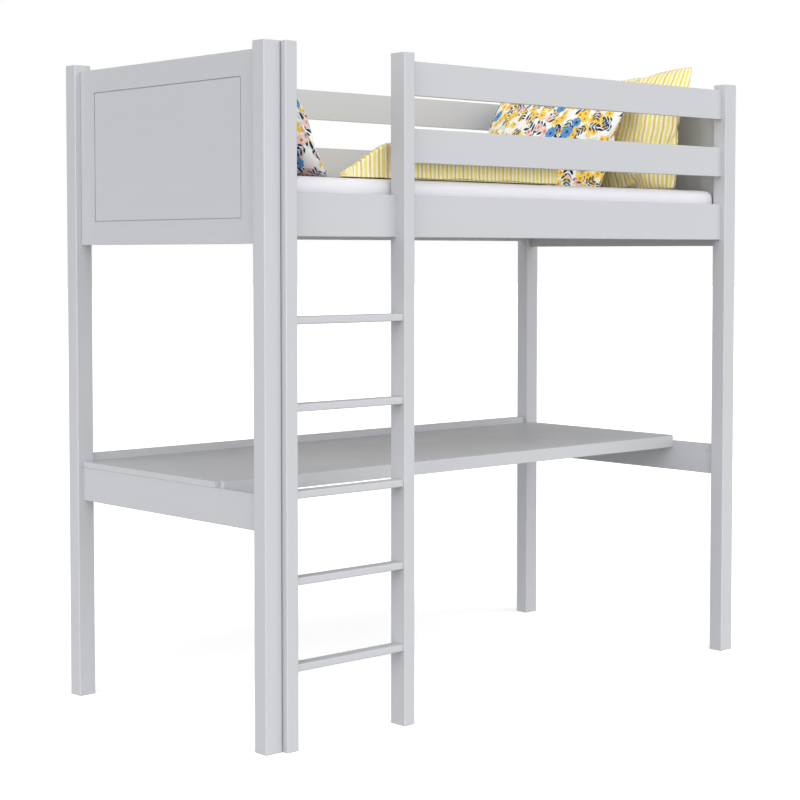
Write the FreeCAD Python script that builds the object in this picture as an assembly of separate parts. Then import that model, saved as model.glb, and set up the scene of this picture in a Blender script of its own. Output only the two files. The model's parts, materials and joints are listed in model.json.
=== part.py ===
import FreeCAD, Part
import os

# A loft bed with a desk under it, in millimetres: +Z up, +X along the bed, +Y towards the back.
# The origin is on the floor, in the middle of the length and of the depth over everything.

X_AXIS = FreeCAD.Vector(1, 0, 0)
Y_AXIS = FreeCAD.Vector(0, 1, 0)
Z_AXIS = FreeCAD.Vector(0, 0, 1)

# Overall
length = 2077.5  # outside to outside of the posts
post_depth_span = 995.0  # front of the front posts to back of the back posts
ladder_proud = 20.0  # the ladder stands this far in front of the front posts
height = 1972.0

# Posts
post_x = 57.5
post_y = 52.5
post_ease = 3.0

# Boards of the bed frame
board = 18.0
board_ease = 2.0
side_rail_z = (1437.3, 1560.0)
guard_z = {"lower": (1655.4, 1755.4), "top": (1852.0, 1952.0)}

# End panels: a frame of stiles and rails round a thinner panel
end_z = (1416.0, 1952.0)
stile = 76.0
end_rail = 70.0
panel = 8.0
panel_recess = 4.0  # from the outer face of the frame to the panel in its grooves
field_set_back = 0.6  # from the outer face of the frame to the raised field
field_gap = 3.5  # shadow gap between the raised field and the frame
groove_depth = 10.2
groove_play = 0.1
tenon = 10.0

# Slats and the ledgers that carry them
ledger_y = 24.0
ledger_z = 24.7
slat_count = 13
slat = (84.0, 18.0)
slat_play = 1.0
end_slat_from_post = 45.0

# Ladder
ladder_post = (40.5, 61.4)
ladder_gap = 2.5  # between the left ladder post and the front left bed post
ladder_clear = 400.2  # between the ladder posts
rung_count = 5
rung_pitch = 242.8
first_rung_bottom = 221.7
rung = (43.5, 22.0)
rung_ease = 5.0
rung_setback = 6.5  # behind the front of the ladder posts
housing = 10.0  # how far a rung goes into each ladder post

# Desk
desk_height = 739.0
beam = 103.5
desk_front_from_post = 238.0  # front of the apron, behind the front of the front posts
desk_back_from_post = 956.0  # front of the upstand
apron = 41.0
upstand_z = (698.5, 762.0)

# Mattress and bedding
mattress = (1996.0, 888.0, 130.0)
mattress_corner = 60.0
mattress_edge = 22.0
soft_gap = 0.3

# Hardware
cam_radius = 7.5
cam_depth = 13.0
cam_setback = 34.0  # from the end of the board to the cam's centre
pin_radius = 3.0
pin_in_post = 12.0
dowel_radius = 4.0
dowel_in_post = 15.0
dowel_in_board = 20.0
play = 0.05  # radial play of pins, dowels and screws in their holes
hole_spare = 0.5  # a hole is this much deeper than what it holds
seam_turn = 37.0  # degrees about a bore's own axis

# Reference planes
left = -length / 2
right = length / 2
front = -(post_depth_span - ladder_proud) / 2
back = front + post_depth_span
front_ladder = front - ladder_proud
inner_left = left + post_x
inner_right = right - post_x
inner_front = front + post_y
inner_back = back - post_y
front_board_y = front + (post_y - board) / 2
back_board_y = back - (post_y + board) / 2
left_board_x = left + (post_x - board) / 2
right_board_x = right - (post_x + board) / 2
ladder_left_x = inner_left + ladder_gap
ladder_right_x = ladder_left_x + ladder_post[0] + ladder_clear
slat_bottom = side_rail_z[0] + ledger_z
mattress_bottom = slat_bottom + slat[1]
mattress_top = mattress_bottom + mattress[2]
desk_bottom = desk_height - board
beam_bottom = desk_bottom - beam
apron_y = front + desk_front_from_post
upstand_y = front + desk_back_from_post

parts = {}
groups = {
    "cam_housings": [],
    "cam_pins": [],
    "wood_dowels": [],
    "ladder_bolts": [],
    "rung_screws": [],
    "slat_screws": [],
    "desk_brackets": [],
    "desk_screws": [],
}


def box(xs, ys, zs):
    """A box between two values along each axis."""
    corner = FreeCAD.Vector(xs[0], ys[0], zs[0])
    return Part.makeBox(xs[1] - xs[0], ys[1] - ys[0], zs[1] - zs[0], corner)


def runs_along(edge, axis):
    """Whether a straight edge is parallel to an axis."""
    ends = [v.Point for v in edge.Vertexes]
    return len(ends) == 2 and (ends[1] - ends[0]).cross(axis).Length < 1e-6


def eased(shape, axis, radius, at=None):
    """Rounds the edges that run along an axis, as a router does down a board.
    With at=(axis, value), only the edges at that place are rounded."""
    edges = [e for e in shape.Edges if runs_along(e, axis)]
    if at:
        direction, value = at
        edges = [e for e in edges if abs(e.CenterOfMass.dot(direction) - value) < 1e-6]
    return shape.makeFillet(radius, edges)


def rod(start, direction, span, radius):
    """A cylinder from a start point along a direction, with its seam clear of crossing bores."""
    cylinder = Part.makeCylinder(radius, span)
    cylinder.rotate(FreeCAD.Vector(0, 0, 0), Z_AXIS, seam_turn)
    placed = FreeCAD.Placement(start, FreeCAD.Rotation(Z_AXIS, direction))
    cylinder.Placement = placed.multiply(cylinder.Placement)
    return cylinder


def drilled(node, tools):
    """Cuts a list of tools out of a part that is already made."""
    parts[node] = parts[node].cut(tools)


# ---- Fasteners ----


def cam_joint(host, joined, end, into, inner):
    """A cam fitting: the pin is screwed into the host, and the cam in the board locks its head."""
    pin_length = pin_in_post + cam_setback + pin_radius / 2
    pin = rod(end - into * pin_in_post, into, pin_length, pin_radius)
    centre = end + into * cam_setback + inner * (board / 2)
    channel = rod(end + into * (cam_setback - cam_radius - 1), into, cam_radius + 4, pin_radius + 0.3)
    driver_slot = rod(centre, inner * -1, 3, pin_radius - 0.8)
    cam = rod(centre, inner * -1, cam_depth - 0.2, cam_radius - 0.1)
    groups["cam_pins"].append(pin)
    groups["cam_housings"].append(cam.cut([channel, driver_slot]))
    pilot_depth = pin_in_post + hole_spare
    drilled(host, [rod(end - into * pilot_depth, into, pilot_depth, pin_radius + play)])
    bore = rod(centre, inner * -1, cam_depth, cam_radius)
    drilled(joined, [rod(end, into, cam_setback, pin_radius + 0.5), bore])


def dowel_joint(host, joined, end, into, in_host=dowel_in_post, in_joined=dowel_in_board):
    """A glued wooden dowel across a butt joint."""
    start = end - into * in_host
    dowel = rod(start, into, in_host + in_joined, dowel_radius)
    groups["wood_dowels"].append(dowel.makeChamfer(1.0, [e for e in dowel.Edges if e.Closed]))
    hole_radius = dowel_radius + play
    host_depth = in_host + hole_spare
    drilled(host, [rod(end - into * host_depth, into, host_depth, hole_radius)])
    drilled(joined, [rod(end, into, in_joined + hole_spare, hole_radius)])


def board_end(host, joined, end, into, inner, cams, dowels):
    """Joins a board's end to a host face: cams and dowels at the heights given."""
    for z in cams:
        cam_joint(host, joined, FreeCAD.Vector(end[0], end[1], z), into, inner)
    for z in dowels:
        dowel_joint(host, joined, FreeCAD.Vector(end[0], end[1], z), into)


def screw(group, head, into, shank, radius, head_size, through):
    """A screw let in flush at head, running along into; through lists the parts it passes."""
    head_radius, head_depth = head_size
    body = rod(head, into, head_depth, head_radius)
    stem = rod(head + into * head_depth, into, shank, radius)
    groups[group].append(body.fuse(stem).removeSplitter())
    hole = rod(head + into * head_depth, into, shank + hole_spare, radius + play)
    drilled(through[0], [rod(head, into, head_depth, head_radius + play), hole])
    for node in through[1:]:
        drilled(node, [hole])


# ---- Bed frame ----


def posts():
    """Four square posts with every edge rounded."""
    for side, x in (("left", left), ("right", inner_right)):
        for face, y in (("front", front), ("back", inner_back)):
            blank = box((x, x + post_x), (y, y + post_y), (0, height))
            parts[f"post_{face}_{side}"] = blank.makeFillet(post_ease, blank.Edges)


def long_board(node, x_from, y, z):
    """A board along the bed, from x_from to the right-hand posts."""
    blank = box((x_from, inner_right), (y, y + board), z)
    parts[node] = eased(blank, X_AXIS, board_ease)


def side_rails():
    """The two deep rails that carry the ledgers, and their joints with the posts."""
    low = side_rail_z[0]
    cams = (low + 45, low + 100)
    dowels = (low + 72,)
    for face, y, inner in (("front", front_board_y, Y_AXIS), ("back", back_board_y, Y_AXIS * -1)):
        node = f"side_rail_{face}"
        long_board(node, inner_left, y, side_rail_z)
        middle = y + board / 2
        board_end(f"post_{face}_left", node, (inner_left, middle), X_AXIS, inner, cams, dowels)
        board_end(f"post_{face}_right", node, (inner_right, middle), X_AXIS * -1, inner, cams, dowels)


def guard_rails():
    """Two guard boards front and back; the front ones stop at the ladder's right-hand post."""
    ladder_side = ladder_right_x + ladder_post[0]
    for level, z in guard_z.items():
        cams, dowels = (z[0] + 30,), (z[0] + 70,)
        front_node, back_node = f"guard_front_{level}", f"guard_back_{level}"
        long_board(front_node, ladder_side, front_board_y, z)
        long_board(back_node, inner_left, back_board_y, z)
        ends = (
            ("ladder_post_right", front_node, ladder_side, X_AXIS, Y_AXIS),
            ("post_front_right", front_node, inner_right, X_AXIS * -1, Y_AXIS),
            ("post_back_left", back_node, inner_left, X_AXIS, Y_AXIS * -1),
            ("post_back_right", back_node, inner_right, X_AXIS * -1, Y_AXIS * -1),
        )
        for host, node, x, into, inner in ends:
            y = (front_board_y if node == front_node else back_board_y) + board / 2
            board_end(host, node, (x, y), into, inner, cams, dowels)


def end_panel(side, x, inner):
    """One framed end: two grooved stiles, two grooved rails with stub tenons, and a panel with a
    raised field that a shadow gap sets apart from the frame."""
    outer_face = x if inner.x > 0 else x + board
    groove_low = min(outer_face + inner.x * panel_recess, outer_face + inner.x * (panel_recess + panel))
    groove_x = (groove_low - groove_play, groove_low + panel + groove_play)
    panel_x = (groove_low, groove_low + panel)
    field_y = (inner_front + stile, inner_back - stile)
    field_z = (end_z[0] + end_rail, end_z[1] - end_rail)
    middle = x + board / 2

    stiles = (("front", (inner_front, field_y[0]), -1), ("back", (field_y[1], inner_back), 1))
    for face, span, outward in stiles:
        node = f"end_{side}_stile_{face}"
        edge = span[1] if outward < 0 else span[0]
        post_face = span[0] if outward < 0 else span[1]
        blank = eased(box((x, x + board), span, end_z), Z_AXIS, board_ease, (Y_AXIS, post_face))
        groove = sorted((edge, edge + outward * groove_depth))
        parts[node] = blank.cut(box(groove_x, groove, end_z))
        cams = [end_z[0] + share * (end_z[1] - end_z[0]) for share in (0.1, 0.5, 0.9)]
        dowels = [end_z[0] + share * (end_z[1] - end_z[0]) for share in (0.3, 0.7)]
        host = f"post_{face}_{side}"
        board_end(host, node, (middle, post_face), Y_AXIS * -outward, inner, cams, dowels)

    rails = (("bottom", (end_z[0], field_z[0]), 1), ("top", (field_z[1], end_z[1]), -1))
    for level, span, inward in rails:
        edge = span[1] if inward > 0 else span[0]
        outside = span[0] if inward > 0 else span[1]
        blank = eased(box((x, x + board), field_y, span), Y_AXIS, board_ease, (Z_AXIS, outside))
        groove = sorted((edge, edge - inward * groove_depth))
        tongue_z = (span[0], groove[0]) if inward > 0 else (groove[1], span[1])
        tongue = box(panel_x, (field_y[0] - tenon, field_y[1] + tenon), tongue_z)
        grooved = blank.cut(box(groove_x, field_y, groove))
        parts[f"end_{side}_rail_{level}"] = grooved.fuse(tongue).removeSplitter()

    reach = groove_depth - 1
    panel_y = (field_y[0] - reach, field_y[1] + reach)
    panel_z = (field_z[0] - reach, field_z[1] + reach)
    raised_x = sorted((outer_face + inner.x * field_set_back, outer_face + inner.x * (panel_recess + 1)))
    raised_y = (field_y[0] + field_gap, field_y[1] - field_gap)
    raised_z = (field_z[0] + field_gap, field_z[1] - field_gap)
    panel_body = box(panel_x, panel_y, panel_z).fuse(box(raised_x, raised_y, raised_z))
    parts[f"end_{side}_panel"] = panel_body.removeSplitter()


def slat_centres():
    """Slat centres along the bed, evenly spaced between the end ones."""
    first = inner_left + end_slat_from_post
    step = (inner_right - end_slat_from_post - first) / (slat_count - 1)
    return [first + i * step for i in range(slat_count)]


def slat_base():
    """Ledgers screwed to the side rails, and slats screwed down on them."""
    ledger_span = (inner_left + slat_play, inner_right - slat_play)
    ledger_zs = (side_rail_z[0], slat_bottom)
    front_y = front_board_y + board
    back_y = back_board_y
    ledgers = (("front", (front_y, front_y + ledger_y), 1), ("back", (back_y - ledger_y, back_y), -1))
    centres = slat_centres()
    between = [(a + b) / 2 for a, b in zip(centres, centres[1:])][::2]
    for face, span, inward in ledgers:
        node = f"slat_ledger_{face}"
        parts[node] = eased(box(ledger_span, span, ledger_zs), X_AXIS, 1.0)
        open_side = span[1] if inward > 0 else span[0]
        for x in between:
            head = FreeCAD.Vector(x, open_side, side_rail_z[0] + ledger_z / 2)
            into = Y_AXIS * -inward
            screw("slat_screws", head, into, 33, 2, (4, 3), (node, f"side_rail_{face}"))

    slat_span = (front_y + slat_play, back_y - slat_play)
    for number, x in enumerate(centres, 1):
        node = f"slat_{number:02d}"
        blank = box((x - slat[0] / 2, x + slat[0] / 2), slat_span, (slat_bottom, mattress_bottom))
        parts[node] = eased(blank, Y_AXIS, 3.0)
        for face, span, inward in ledgers:
            head = FreeCAD.Vector(x, sum(span) / 2, mattress_bottom)
            screw("slat_screws", head, Z_AXIS * -1, 32, 2, (4, 3), (node, f"slat_ledger_{face}"))


# ---- Ladder ----


def ladder_posts():
    """Two full-height ladder posts, each notched at the back to hook over the side rail."""
    depth = (front_ladder, front_ladder + ladder_post[1])
    notch_z = (side_rail_z[0] - 0.2, side_rail_z[1] + 0.2)
    for side, x in (("left", ladder_left_x), ("right", ladder_right_x)):
        span = (x, x + ladder_post[0])
        blank = box(span, depth, (0, height))
        rounded = blank.makeFillet(post_ease, blank.Edges)
        parts[f"ladder_post_{side}"] = rounded.cut(box(span, (front_board_y, depth[1]), notch_z))


def rung_solid(xs, bottom, grow):
    """A rung with rounded long edges; grow makes the tool for its housing."""
    y = front_ladder + rung_setback
    ys = (y - grow, y + rung[0] + grow)
    return eased(box(xs, ys, (bottom - grow, bottom + rung[1] + grow)), X_AXIS, rung_ease)


def rungs():
    """Treads let into both ladder posts and screwed through them."""
    clear = (ladder_left_x + ladder_post[0], ladder_right_x)
    outer = (ladder_left_x, ladder_right_x + ladder_post[0])
    for number in range(1, rung_count + 1):
        bottom = first_rung_bottom + (number - 1) * rung_pitch
        node = f"rung_{number}"
        tread = (clear[0] - housing + 0.2, clear[1] + housing - 0.2)
        parts[node] = rung_solid(tread, bottom, 0)
        pocket = rung_solid((clear[0] - housing, clear[1] + housing), bottom, 0.1)
        centre_y = front_ladder + rung_setback + rung[0] / 2
        for side, x, into in (("left", outer[0], X_AXIS), ("right", outer[1], X_AXIS * -1)):
            host = f"ladder_post_{side}"
            drilled(host, [pocket])
            head = FreeCAD.Vector(x, centre_y, bottom + rung[1] / 2)
            screw("rung_screws", head, into, 66, 3.5, (5, 4), (host, node))


def ladder_bolts():
    """Bolts from inside the side rail into the ladder posts."""
    inside = front_board_y + board
    for side, x in (("left", ladder_left_x), ("right", ladder_right_x)):
        for above in (58, 86):
            centre = FreeCAD.Vector(x + ladder_post[0] / 2, inside, side_rail_z[0] + above)
            head = rod(centre, Y_AXIS, 4, 6).cut(rod(centre + Y_AXIS, Y_AXIS, 3, 2.5))
            shank = rod(centre, Y_AXIS * -1, 40, 3)
            groups["ladder_bolts"].append(head.fuse(shank).removeSplitter())
            hole = rod(centre, Y_AXIS * -1, 40 + hole_spare, 3 + play)
            drilled("side_rail_front", [hole])
            drilled(f"ladder_post_{side}", [hole])


# ---- Desk ----


def desk_beams():
    """The two beams across the ends that the desk rests on."""
    low = beam_bottom
    cams, dowels = (low + 25, low + 80), (low + 52,)
    for side, x, inner in (("left", left_board_x, X_AXIS), ("right", right_board_x, X_AXIS * -1)):
        node = f"desk_beam_{side}"
        blank = box((x, x + board), (inner_front, inner_back), (beam_bottom, desk_bottom))
        parts[node] = eased(blank, Y_AXIS, board_ease)
        middle = x + board / 2
        board_end(f"post_front_{side}", node, (middle, inner_front), Y_AXIS, inner, cams, dowels)
        board_end(f"post_back_{side}", node, (middle, inner_back), Y_AXIS * -1, inner, cams, dowels)


def desk_top():
    """The worktop, notched round the back posts and lying on both beams."""
    xs = (left_board_x, right_board_x + board)
    ys = (apron_y + board, upstand_y)
    top = box(xs, ys, (desk_bottom, desk_height))
    notches = [
        box((left, inner_left + 0.2), (inner_back - 0.2, back), (desk_bottom, desk_height)),
        box((inner_right - 0.2, right), (inner_back - 0.2, back), (desk_bottom, desk_height)),
    ]
    parts["desk_top"] = eased(top, Y_AXIS, 1.5).cut(notches)


def desk_apron():
    """The lipping under the worktop's front edge, between the beams."""
    xs = (left_board_x + board, right_board_x)
    blank = box(xs, (apron_y, apron_y + board), (desk_height - apron, desk_height))
    parts["desk_apron"] = eased(blank, X_AXIS, board_ease)
    middle = apron_y + board / 2
    cams, dowels = (desk_bottom - 11.5,), (desk_height - 11,)
    board_end("desk_beam_left", "desk_apron", (xs[0], middle), X_AXIS, Y_AXIS, cams, ())
    board_end("desk_beam_right", "desk_apron", (xs[1], middle), X_AXIS * -1, Y_AXIS, cams, ())
    for share in (0.06, 0.28, 0.5, 0.72, 0.94):
        x = xs[0] + share * (xs[1] - xs[0])
        joint = FreeCAD.Vector(x, apron_y + board, dowels[0])
        dowel_joint("desk_apron", "desk_top", joint, Y_AXIS, 10, dowel_in_board)


def desk_upstand():
    """The strip between the back posts that closes the back of the worktop."""
    blank = box((inner_left, inner_right), (upstand_y, upstand_y + board), upstand_z)
    parts["desk_upstand"] = eased(blank, X_AXIS, board_ease)
    middle = upstand_y + board / 2
    cams, dowels = (desk_bottom - 11.5,), (upstand_z[1] - 14,)
    inner = Y_AXIS * -1
    board_end("post_back_left", "desk_upstand", (inner_left, middle), X_AXIS, inner, cams, dowels)
    board_end("post_back_right", "desk_upstand", (inner_right, middle), X_AXIS * -1, inner, cams, dowels)
    for share in (0.08, 0.22, 0.36, 0.5, 0.64, 0.78, 0.92):
        x = inner_left + share * (inner_right - inner_left)
        head = FreeCAD.Vector(x, upstand_y + board, desk_height - board / 2)
        screw("desk_screws", head, inner, 42, 2.5, (4.5, 3.5), ("desk_upstand", "desk_top"))


def desk_brackets():
    """Steel angles under the worktop, screwed up into it and sideways into the beams."""
    leg, width, metal = 30.0, 20.0, 2.0
    for side, x, out in (("left", left_board_x + board, 1), ("right", right_board_x, -1)):
        for share in (0.2, 0.5, 0.8):
            y = apron_y + board + share * (upstand_y - apron_y - board)
            ys = (y - width / 2, y + width / 2)
            wall = box(sorted((x, x + out * metal)), ys, (desk_bottom - leg, desk_bottom))
            shelf = box(sorted((x, x + out * leg)), ys, (desk_bottom - metal, desk_bottom))
            angle = wall.fuse(shelf).removeSplitter()
            up_start = FreeCAD.Vector(x + out * 0.6 * leg, y, desk_bottom - metal)
            side_start = FreeCAD.Vector(x + out * metal, y, desk_bottom - 0.6 * leg)
            fixings = ((up_start, Z_AXIS, "desk_top"), (side_start, X_AXIS * -out, f"desk_beam_{side}"))
            for start, into, host in fixings:
                hole = rod(start, into, 15 + hole_spare, 2 + play)
                angle = angle.cut(hole)
                drilled(host, [hole])
                head = rod(start, into * -1, 2, 3.8)
                groups["desk_screws"].append(head.fuse(rod(start, into, 15, 2)).removeSplitter())
            groups["desk_brackets"].append(angle)


# ---- Soft parts, as plain closed solids ----


def soft_mattress():
    """The mattress, with round corners in plan and round edges."""
    half_x = mattress[0] / 2
    middle_y = (inner_front + inner_back) / 2
    ys = (middle_y - mattress[1] / 2, middle_y + mattress[1] / 2)
    block = eased(box((-half_x, half_x), ys, (mattress_bottom, mattress_top)), Z_AXIS, mattress_corner)
    rims = [e for e in block.Edges if e.BoundBox.ZLength < 1e-6]
    parts["mattress"] = block.makeFillet(mattress_edge, rims)


def soft_duvet():
    """The duvet, pushed together across the bed: a low mound with sloping ends."""
    floor = mattress_top + soft_gap
    start, end = left + 335, left + 1275
    outline = [(start, 0), (end, 0), (end - 12, 80), (end - 120, 112), (start + 260, 112), (start + 95, 82)]
    corners = [FreeCAD.Vector(x, front + 74, floor + z) for x, z in outline]
    face = Part.Face(Part.makePolygon(corners + corners[:1]))
    mound = face.extrude(FreeCAD.Vector(0, post_depth_span - 148, 0))
    parts["duvet"] = eased(mound, Y_AXIS, 12.0)


def soft_pillow(node, tall, thick, ys, lean, x_centre):
    """A pillow leaning by lean degrees about Y, standing on the mattress at x_centre."""
    block = box((-thick / 2, thick / 2), ys, (0, tall))
    pillow = block.makeFillet(0.42 * thick, block.Edges)
    pillow.rotate(FreeCAD.Vector(0, 0, 0), Y_AXIS, lean)
    bounds = pillow.BoundBox
    rise = mattress_top + soft_gap - bounds.ZMin
    shift = x_centre - (bounds.XMin + bounds.XMax) / 2
    pillow.translate(FreeCAD.Vector(shift, 0, rise))
    parts[node] = pillow


def soft_pillows():
    """One pillow against the left end, and two in a row against the right end."""
    soft_pillow("pillow_floral_left", 385, 130, (front + 120, front + 740), -30, left + 232)
    soft_pillow("pillow_striped", 430, 130, (front + 105, front + 765), 14, left + 1923)
    soft_pillow("pillow_floral_right", 400, 115, (front + 245, front + 885), 22, left + 1742)


def write_parts():
    """Writes each part, and each group of small parts, to its own STEP file."""
    os.makedirs("parts", exist_ok=True)
    for node, solids in groups.items():
        parts[node] = Part.makeCompound(solids)
    for node, shape in parts.items():
        if not shape.isValid():
            print("not valid:", node)
        shape.exportStep(f"parts/{node}.step")


posts()
ladder_posts()
side_rails()
guard_rails()
end_panel("left", left_board_x, X_AXIS)
end_panel("right", right_board_x, X_AXIS * -1)
slat_base()
rungs()
ladder_bolts()
desk_beams()
desk_top()
desk_apron()
desk_upstand()
desk_brackets()
soft_mattress()
soft_duvet()
soft_pillows()
write_parts()
print(len(parts), "parts")
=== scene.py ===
import json
import math

import bmesh
import bpy
import numpy as np
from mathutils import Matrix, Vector, noise


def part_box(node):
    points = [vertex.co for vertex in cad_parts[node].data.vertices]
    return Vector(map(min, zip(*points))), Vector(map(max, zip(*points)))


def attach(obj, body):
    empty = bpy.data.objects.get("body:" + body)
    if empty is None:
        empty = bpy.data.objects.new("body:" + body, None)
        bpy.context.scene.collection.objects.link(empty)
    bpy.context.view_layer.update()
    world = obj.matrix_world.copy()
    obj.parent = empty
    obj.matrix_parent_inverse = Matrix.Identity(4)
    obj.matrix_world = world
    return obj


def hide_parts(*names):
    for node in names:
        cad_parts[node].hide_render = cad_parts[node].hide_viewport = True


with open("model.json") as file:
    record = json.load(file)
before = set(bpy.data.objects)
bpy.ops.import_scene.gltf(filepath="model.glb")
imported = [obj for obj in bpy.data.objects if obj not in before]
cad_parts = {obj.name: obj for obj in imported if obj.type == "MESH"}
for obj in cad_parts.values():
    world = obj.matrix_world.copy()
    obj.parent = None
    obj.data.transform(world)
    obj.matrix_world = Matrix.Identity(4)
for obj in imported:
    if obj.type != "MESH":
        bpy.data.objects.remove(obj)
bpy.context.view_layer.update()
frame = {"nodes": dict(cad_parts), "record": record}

# A loft bed with a desk, in metres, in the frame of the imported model.
BEDDING = "bedding"  # the body that all the soft pieces ride on
MATTRESS_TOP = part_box("mattress")[1].z
REST_GAP = 0.0006  # between the mattress and what lies on it


# ---- Node helpers ----


def new_material(name):
    """An empty node material with its shader, and the tree to build in."""
    material = bpy.data.materials.new(name)
    material.use_nodes = True
    tree = material.node_tree
    return material, tree, tree.nodes["Principled BSDF"]


def node(tree, kind, inputs=None, **settings):
    """A node with its settings and inputs; an input given as a socket is linked."""
    made = tree.nodes.new(kind)
    for key, value in settings.items():
        setattr(made, key, value)
    for key, value in (inputs or {}).items():
        if isinstance(value, bpy.types.NodeSocket):
            tree.links.new(value, made.inputs[key])
        else:
            made.inputs[key].default_value = value
    return made


def math_node(tree, operation, a, b=None, c=None, clamp=False):
    """A maths node's result."""
    values = {i: v for i, v in enumerate((a, b, c)) if v is not None}
    return node(tree, "ShaderNodeMath", values, operation=operation, use_clamp=clamp).outputs[0]


def mix_colour(tree, share, a, b, blend="MIX"):
    """Two colours mixed by a share."""
    made = node(tree, "ShaderNodeMix", data_type="RGBA", blend_type=blend)
    for key, value in (("Factor", share), ("A", a), ("B", b)):
        sockets = [s for s in made.inputs if s.name == key and s.enabled]
        if isinstance(value, bpy.types.NodeSocket):
            tree.links.new(value, sockets[0])
        else:
            sockets[0].default_value = value
    return next(s for s in made.outputs if s.enabled)


def object_point(tree, scale=(1, 1, 1)):
    """The piece's own coordinates in metres, stretched by a scale."""
    place = node(tree, "ShaderNodeTexCoord").outputs["Object"]
    return node(tree, "ShaderNodeMapping", {"Vector": place, "Scale": scale}).outputs[0]


def noise_at(tree, point, scale, detail=3.0, roughness=0.5):
    """Noise from 0 to 1 at a point."""
    values = {"Vector": point, "Scale": scale, "Detail": detail, "Roughness": roughness}
    return node(tree, "ShaderNodeTexNoise", values).outputs["Fac"]


def spread_range(tree, value, low, high, to_low, to_high):
    """A value taken from one range to another."""
    values = {"Value": value, "From Min": low, "From Max": high, "To Min": to_low, "To Max": to_high}
    return node(tree, "ShaderNodeMapRange", values).outputs[0]


def bump(tree, height, distance, strength=1.0, normal=None):
    """A bump node's normal, from a height and its depth in metres."""
    values = {"Height": height, "Distance": distance, "Strength": strength}
    if normal is not None:
        values["Normal"] = normal
    return node(tree, "ShaderNodeBump", values).outputs[0]


def wire(tree, shader, **sockets):
    """Links or sets the shader's inputs by name."""
    for key, value in sockets.items():
        name = key.replace("_", " ")
        if isinstance(value, bpy.types.NodeSocket):
            tree.links.new(value, shader.inputs[name])
        else:
            shader.inputs[name].default_value = value


# ---- Materials of the frame ----

PAINT = (0.515, 0.525, 0.548, 1)
PAINT_SHADE = 0.987  # how bright the paint is where it is thinnest
PAINT_PORE = (0.43, 0.44, 0.46, 1)
STRETCH = {"X": (0.06, 1, 1), "Y": (1, 0.06, 1), "Z": (1, 1, 0.06)}  # draws the grain out along an axis
EARLYWOOD = (0.78, 0.66, 0.50, 1)
LATEWOOD = (0.62, 0.46, 0.29, 1)
FIBRE = (0.84, 0.74, 0.58, 1)
KNOT = (0.26, 0.13, 0.06, 1)
RING_COUNT = 14.0
RING_CONTRAST = 2.4
KNOTS_PER_METRE = 5.0
ZINC = ((0.52, 0.53, 0.55, 1), (0.74, 0.75, 0.76, 1))
CAM_GREY = ((0.50, 0.51, 0.53, 1), (0.53, 0.54, 0.56, 1))


def painted_wood(along):
    """Cool light grey satin paint on boards, with the wood's grain just telling through it."""
    material, tree, shader = new_material(f"paint_{along}")
    point = object_point(tree)
    grain_point = object_point(tree, STRETCH[along])
    grain = noise_at(tree, grain_point, 260, 4, 0.62)
    broad = noise_at(tree, grain_point, 38, 3, 0.5)
    peel = noise_at(tree, point, 1500, 1, 0.5)
    patch = noise_at(tree, point, 7, 2, 0.5)
    tint = spread_range(tree, broad, 0.3, 0.7, 0.0, 1.0)
    darker = tuple(PAINT_SHADE * c for c in PAINT[:3]) + (1,)
    colour = mix_colour(tree, tint, darker, PAINT)
    pores = spread_range(tree, grain, 0.62, 0.76, 0.0, 0.05)
    colour = mix_colour(tree, pores, colour, PAINT_PORE)
    rough = spread_range(tree, patch, 0.3, 0.7, 0.36, 0.44)
    relief = bump(tree, grain, 0.0003, 0.35)
    relief = bump(tree, peel, 0.0001, 0.35, relief)
    wire(tree, shader, Base_Color=colour, Roughness=rough, Normal=relief)
    shader.inputs["Specular IOR Level"].default_value = 0.42
    return material


def bare_pine(along):
    """Planed softwood: darker latewood lines, pores and an occasional knot."""
    material, tree, shader = new_material(f"pine_{along}")
    point = object_point(tree, STRETCH[along])
    whole = object_point(tree)
    bend = noise_at(tree, point, 9, 3, 0.55)
    rings = math_node(tree, "FRACT", math_node(tree, "MULTIPLY", bend, RING_COUNT))
    rings = math_node(tree, "POWER", rings, RING_CONTRAST)
    fibre = noise_at(tree, point, 420, 3, 0.6)
    colour = mix_colour(tree, rings, EARLYWOOD, LATEWOOD)
    colour = mix_colour(tree, spread_range(tree, fibre, 0.35, 0.75, 0, 0.35), colour, FIBRE)
    cells = node(tree, "ShaderNodeTexVoronoi", {"Vector": whole, "Scale": KNOTS_PER_METRE})
    knot = spread_range(tree, cells.outputs["Distance"], 0.03, 0.06, 1.0, 0.0)
    colour = mix_colour(tree, knot, colour, KNOT)
    rough = spread_range(tree, fibre, 0.3, 0.7, 0.5, 0.68)
    wire(tree, shader, Base_Color=colour, Roughness=rough, Normal=bump(tree, fibre, 0.0003, 0.5))
    return material


def zinc_steel():
    """Zinc-plated screws, pins and angles."""
    material, tree, shader = new_material("zinc_steel")
    point = object_point(tree)
    spangle = noise_at(tree, point, 300, 2, 0.5)
    colour = mix_colour(tree, spangle, *ZINC)
    rough = spread_range(tree, spangle, 0.3, 0.7, 0.26, 0.42)
    wire(tree, shader, Base_Color=colour, Roughness=rough, Normal=bump(tree, spangle, 0.0001, 0.3))
    shader.inputs["Metallic"].default_value = 1.0
    return material


def cam_plastic():
    """Moulded cams, in the grey of the paint."""
    material, tree, shader = new_material("cam_plastic")
    fine = noise_at(tree, object_point(tree), 900, 2, 0.5)
    colour = mix_colour(tree, fine, *CAM_GREY)
    rough = spread_range(tree, fine, 0.3, 0.7, 0.34, 0.46)
    wire(tree, shader, Base_Color=colour, Roughness=rough, Normal=bump(tree, fine, 0.0001, 0.3))
    return material


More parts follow.
